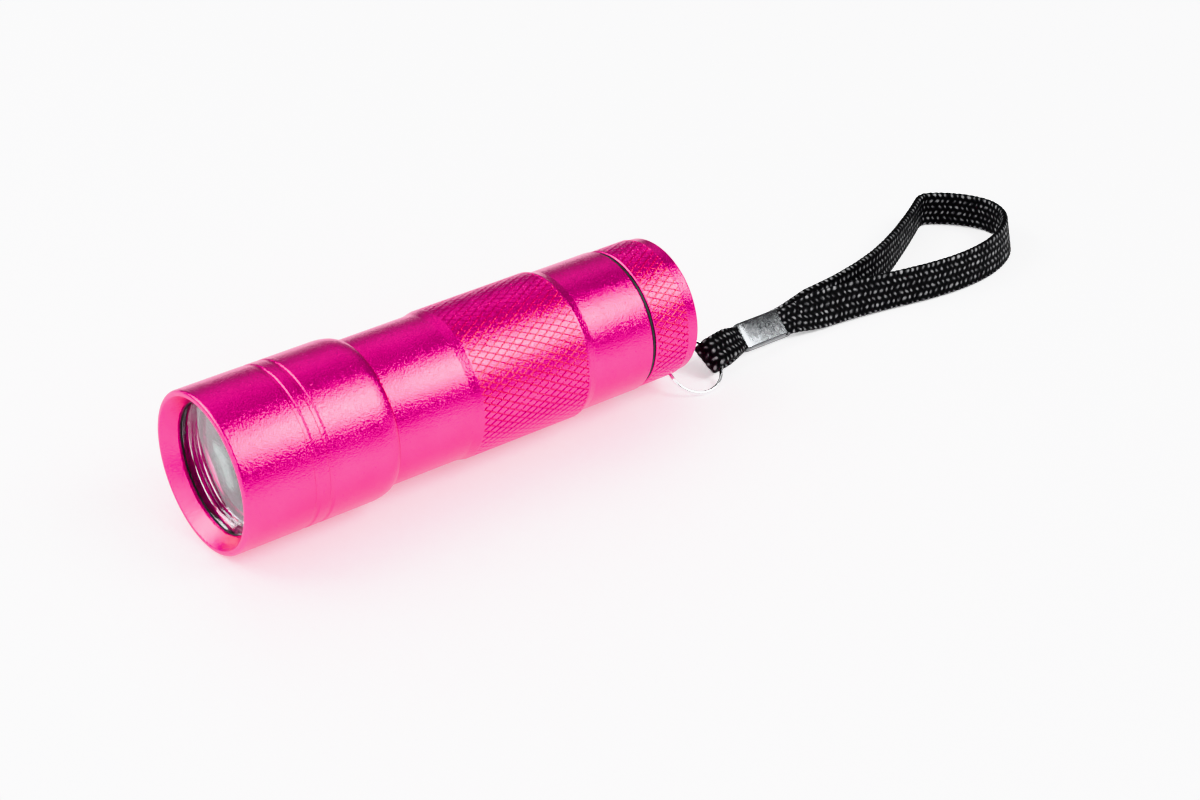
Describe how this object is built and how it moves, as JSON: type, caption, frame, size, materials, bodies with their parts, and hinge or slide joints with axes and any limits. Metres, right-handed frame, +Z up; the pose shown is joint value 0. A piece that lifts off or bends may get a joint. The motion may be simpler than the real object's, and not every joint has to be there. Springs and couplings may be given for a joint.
{
  "type": "uv curing lamp",
  "caption": "Pocket UV curing lamp: knurled anodised torch with a recessed LED window, push-button tail cap, lanyard ring, crimped clip and braided wrist strap.",
  "frame": {"origin": "under the middle of the lamp, on the surface that it lies on, with the lamp's axis 14 mm above it", "axes": "+X along the lamp's axis from the light to the tail, +Z up, +Y to the side away from a viewer who has the light at the left"},
  "size_m": [0.1767, 0.028, 0.028],
  "materials": {
    "anodised_aluminium": "bead-blasted and anodised",
    "clear_acrylic": "polished clear acrylic",
    "black_rubber": "satin",
    "silvered_plastic": "vacuum-metallised",
    "clear_epoxy": "clear moulded epoxy",
    "tinned_wire": "tinned",
    "circuit_board": "solder-masked glass-epoxy",
    "machined_aluminium": "as turned",
    "contact_brass": "plain",
    "black_plastic": "moulded",
    "cell_jacket": "printed foil, plain bands",
    "spring_steel": "nickel-plated",
    "polished_steel": "polished wire",
    "rolled_steel": "rolled sheet",
    "black_webbing": "braided polyester"
  },
  "bodies": {
    "barrel": {"body_tube": "anodised_aluminium", "cartridge_front_plate": "black_plastic", "cartridge_rear_plate": "black_plastic", "cartridge_rails": "black_plastic", "cartridge_front_contact": "contact_brass", "cartridge_rear_contact": "contact_brass", "front_cell_contacts": "spring_steel", "rear_cell_contacts": "spring_steel", "cell_springs": "spring_steel", "cell_1": "cell_jacket", "cell_2": "cell_jacket", "cell_3": "cell_jacket"},
    "neck_seal": {"neck_seal": "black_rubber"},
    "head": {"head_shell": "anodised_aluminium", "lens": "clear_acrylic", "lens_gasket": "black_rubber", "reflector": "silvered_plastic", "uv_leds": "clear_epoxy", "led_leads": "tinned_wire", "led_board": "circuit_board", "board_retaining_ring": "machined_aluminium", "board_contact": "contact_brass"},
    "tail_seal": {"tail_seal": "black_rubber"},
    "tail": {"tail_cap": "anodised_aluminium", "switch_module": "black_plastic", "retaining_nut": "machined_aluminium", "tail_spring": "spring_steel"},
    "button": {"button": "black_rubber", "switch_plunger": "contact_brass"},
    "ring": {"lanyard_ring": "polished_steel"},
    "lanyard": {"crimp_clip": "rolled_steel", "strap_tab": "black_webbing", "wrist_strap": "black_webbing"}
  },
  "joints": [
    {"name": "head_turn", "type": "hinge", "parent": "barrel", "child": "neck_seal", "pos_m": [0, 0, 0.014], "axis": [-1, 0, 0], "range_deg": [0, 2160]},
    {"name": "head_travel", "type": "slide", "parent": "neck_seal", "child": "head", "axis": [-1, 0, 0], "range_m": [0, 0.006]},
    {"name": "tail_turn", "type": "hinge", "parent": "barrel", "child": "tail_seal", "pos_m": [0, 0, 0.014], "axis": [1, 0, 0], "range_deg": [0, 1440]},
    {"name": "tail_travel", "type": "slide", "parent": "tail_seal", "child": "tail", "axis": [1, 0, 0], "range_m": [0, 0.004]},
    {"name": "button_press", "type": "slide", "parent": "tail", "child": "button", "axis": [-1, 0, 0], "range_m": [0, 0.0018], "stiffness_N_per_m": 900, "springref_m": -0.001},
    {"name": "ring_swing", "type": "hinge", "parent": "tail", "child": "ring", "pos_m": [0.0439, -0.00592, 0.00452], "axis": [-0.309, -0.7694, -0.559], "range_deg": [0, 20]},
    {"name": "strap_swing", "type": "hinge", "parent": "ring", "child": "lanyard", "pos_m": [0.05353, -0.00654, 0.00407], "axis": [0.1765, -0.7963, -0.5786], "range_deg": [0, 80]}
  ],
  "couplings": [
    {"joint": "head_turn", "follows": "head_travel", "rad_per_m": 6283.2},
    {"joint": "tail_turn", "follows": "tail_travel", "rad_per_m": 6283.2}
  ]
}
